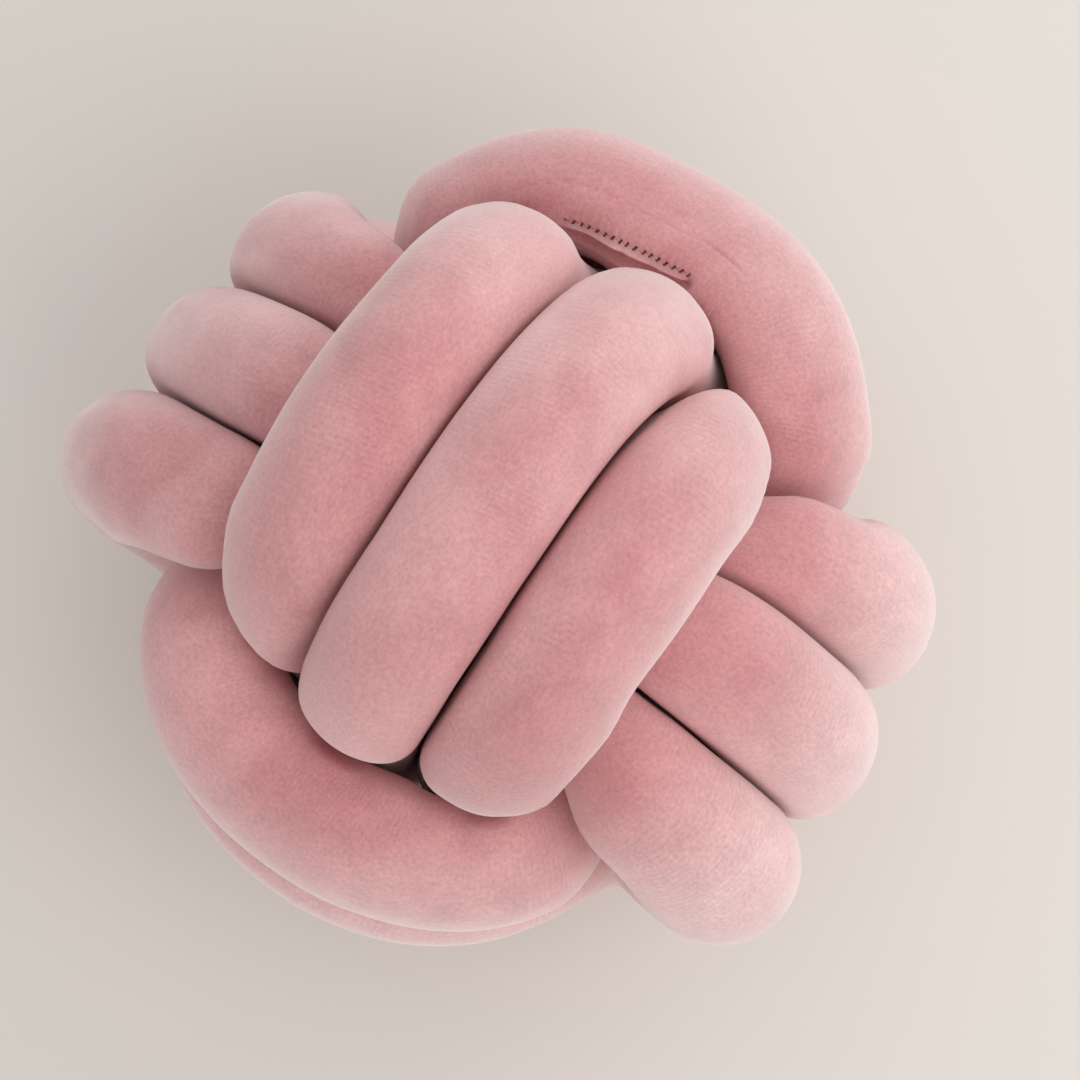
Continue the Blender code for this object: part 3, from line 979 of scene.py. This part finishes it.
def velvet(name):
    """Short-pile velvet: brushed patches, painted sheen at the ends, painted crease shade, fine ribs,
    a grain.
    """
    material, shader, tree = new_material(name)
    cloth = named_vector(tree, "cloth_place")
    from_middle = named_vector(tree, "from_middle")
    gap = node(tree, "Attribute", {"attribute_name": "crease_gap"}).outputs["Fac"]
    patches = noise_at(tree, cloth, NAP_PATCH, detail=2.0, distortion=0.5)
    mottle = noise_at(tree, cloth, MOTTLE, detail=3.0, roughness=0.55)
    grain = noise_at(tree, cloth, PILE_GRAIN, detail=2.0, roughness=0.65)
    ribs = fine_ribs(tree, cloth)

    colour = velvet_colour(tree, from_middle, gap, patches, mottle, grain, ribs)
    tree.links.new(colour, shader.inputs["Base Color"])

    pile = pile_direction(tree, from_middle, gap, patches, mottle)
    grooves = number_node(tree, "MULTIPLY", ribs, -RIB_DEPTH)
    height = number_node(tree, "ADD", grooves, number_node(tree, "MULTIPLY", grain, GRAIN_HEIGHT))
    bump = node(tree, "Bump", None, strength=BUMP, distance=1.0, height=height, normal=pile)
    tree.links.new(bump.outputs[0], shader.inputs["Normal"])

    shader.inputs["Roughness"].default_value = ROUGHNESS
    shader.inputs["Specular IOR Level"].default_value = SHINE
    shader.inputs["Sheen Weight"].default_value = 1.0
    shader.inputs["Sheen Roughness"].default_value = SHEEN_SPREAD
    shader.inputs["Sheen Tint"].default_value = SHEEN_TINT
    return material


velvet_cloth = velvet("dusty_pink_velvet")

# %% Dressing the tube and the strip
for piece in (tube, seam_strip):
    piece.data.materials.append(velvet_cloth)
    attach(piece, "root")
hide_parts("knot_tube")
print("velvet nodes:", len(velvet_cloth.node_tree.nodes))

# %% [markdown]
# ## The thread's finish
#
# Sewing thread is fine strands twisted together, two of them here, in a darker rose than the
# cloth.  The twist is a slanting stripe, worked out from the angle round the thread and the
# distance along it.

# %% Thread material
THREAD_DARK = (0.10, 0.030, 0.032, 1.0)
THREAD_LIGHT = (0.20, 0.065, 0.068, 1.0)
THREAD_TWIST = 0.0011
THREAD_STRANDS = 2
STRAND_EDGE = (-0.8, 0.8)
STRAND_BUMP = 0.6
STRAND_HEIGHT = 0.00005
THREAD_ROUGHNESS = 0.6


def sewing_thread(name):
    """Twisted thread with a dull shine."""
    material, shader, tree = new_material(name)
    place = named_vector(tree, "cloth_place")
    parts = node(tree, "SeparateXYZ", None, vector=place).outputs
    angle = number_node(tree, "ARCTAN2", parts[Y], parts[X])
    turns = number_node(tree, "MULTIPLY", parts[Z], 2 * pi / THREAD_TWIST)
    strands = number_node(tree, "MULTIPLY", angle, THREAD_STRANDS)
    strands = number_node(tree, "SINE", number_node(tree, "ADD", strands, turns))
    colour = two_colours(tree, fade(tree, strands, *STRAND_EDGE), THREAD_DARK, THREAD_LIGHT)
    tree.links.new(colour, shader.inputs["Base Color"])
    bump = node(tree, "Bump", None, strength=STRAND_BUMP, distance=STRAND_HEIGHT, height=strands)
    tree.links.new(bump.outputs[0], shader.inputs["Normal"])
    shader.inputs["Roughness"].default_value = THREAD_ROUGHNESS
    return material


thread.data.materials.append(sewing_thread("dark_rose_thread"))
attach(thread, "root")
print("strands in the thread:", THREAD_STRANDS)

# %% [markdown]
# ## A plain studio
#
# The cushion lies on a pale floor, in an even light from all round.  One large soft light stands
# over its lower right, as a window would.  Two weaker ones stand low beyond its upper side, so that
# they graze the pile and bring out its pale edge.  A single hard lamp would be simpler, but it
# would hide the pile in black shadows.

# %% Which way is right, and which is up, as the camera sees it
VIEW_TURN = radians(-56.17)
RIGHT = Vector((cos(VIEW_TURN), sin(VIEW_TURN), 0.0))
UPWARD = Vector((-sin(VIEW_TURN), cos(VIEW_TURN), 0.0))
print("right in the view:", [round(value, 3) for value in RIGHT])

# %% Floor
FLOOR_SIZE = 6.0
FLOOR_COLOUR = (0.80, 0.77, 0.72, 1.0)
FLOOR_ROUGHNESS = 0.9


def flat_floor(name, size):
    """A plain square on the ground."""
    half = size / 2
    corners = [(-half, -half, 0), (half, -half, 0), (half, half, 0), (-half, half, 0)]
    mesh = bpy.data.meshes.new(name)
    mesh.from_pydata(corners, [], [(0, 1, 2, 3)])
    floor = bpy.data.objects.new(name, mesh)
    bpy.context.scene.collection.objects.link(floor)
    return floor


floor = flat_floor("floor", FLOOR_SIZE)
floor_paint, floor_shader, _ = new_material("pale_floor")
floor_shader.inputs["Base Color"].default_value = FLOOR_COLOUR
floor_shader.inputs["Roughness"].default_value = FLOOR_ROUGHNESS
floor.data.materials.append(floor_paint)
print("floor, m:", FLOOR_SIZE)

# %% Lights
PLAIN_WHITE = (1.0, 1.0, 1.0)
WARM_WHITE = (1.0, 0.99, 0.98)
EVEN_LIGHT = 0.6


def soft_light(name, right, up, height, size, power, colour=PLAIN_WHITE):
    """A square area light, placed from the middle of the ball by the view's own directions."""
    lamp = bpy.data.lights.new(name, "AREA")
    lamp.size = size
    lamp.energy = power
    lamp.color = colour
    light = bpy.data.objects.new(name, lamp)
    light.location = BALL_MIDDLE + RIGHT * right + UPWARD * up + Vector((0.0, 0.0, height))
    light.rotation_euler = (BALL_MIDDLE - light.location).to_track_quat("-Z", "Y").to_euler()
    bpy.context.scene.collection.objects.link(light)
    return light


soft_light("window", right=0.66, up=-0.60, height=1.1, size=1.2, power=7.6, colour=WARM_WHITE)
soft_light("side", right=1.0, up=1.0, height=0.45, size=1.0, power=5.4)
soft_light("back", right=-0.1, up=1.4, height=0.5, size=1.0, power=2.4)
bpy.context.scene.view_settings.view_transform = "Standard"
world = bpy.data.worlds.new("even_light")
bpy.context.scene.world = world
world.use_nodes = True
even_light = world.node_tree.nodes["Background"]
even_light.inputs["Color"].default_value = (*WARM_WHITE, 1.0)
even_light.inputs["Strength"].default_value = EVEN_LIGHT

# %% [markdown]
# ## The camera
#
# It looks almost straight down on the face, from about a metre away, with a long lens so that the
# ball isn't distorted.  It leans by a few degrees, so one side of the ball shows more than the
# other.

# %% Camera
CAMERA_DISTANCE = 1.118
LEAN_UP = radians(7.83)
LEAN_RIGHT = radians(1.86)
LENS = 112.6
SHIFT = (0.0231, 0.0114)

toward = (Vector((0, 0, 1)) + RIGHT * np.tan(LEAN_RIGHT) - UPWARD * np.tan(LEAN_UP)).normalized()
camera_right = (RIGHT - toward * RIGHT.dot(toward)).normalized()
camera_up = toward.cross(camera_right)
lens = bpy.data.cameras.new("camera")
lens.lens = LENS
lens.shift_x, lens.shift_y = SHIFT
camera = bpy.data.objects.new("camera", lens)
camera.matrix_world = Matrix.Translation(BALL_MIDDLE + toward * CAMERA_DISTANCE) @ (
    Matrix((camera_right, camera_up, toward)).transposed().to_4x4()
)
bpy.context.scene.collection.objects.link(camera)
bpy.context.scene.camera = camera
print("camera, m:", [round(value, 3) for value in camera.matrix_world.translation])
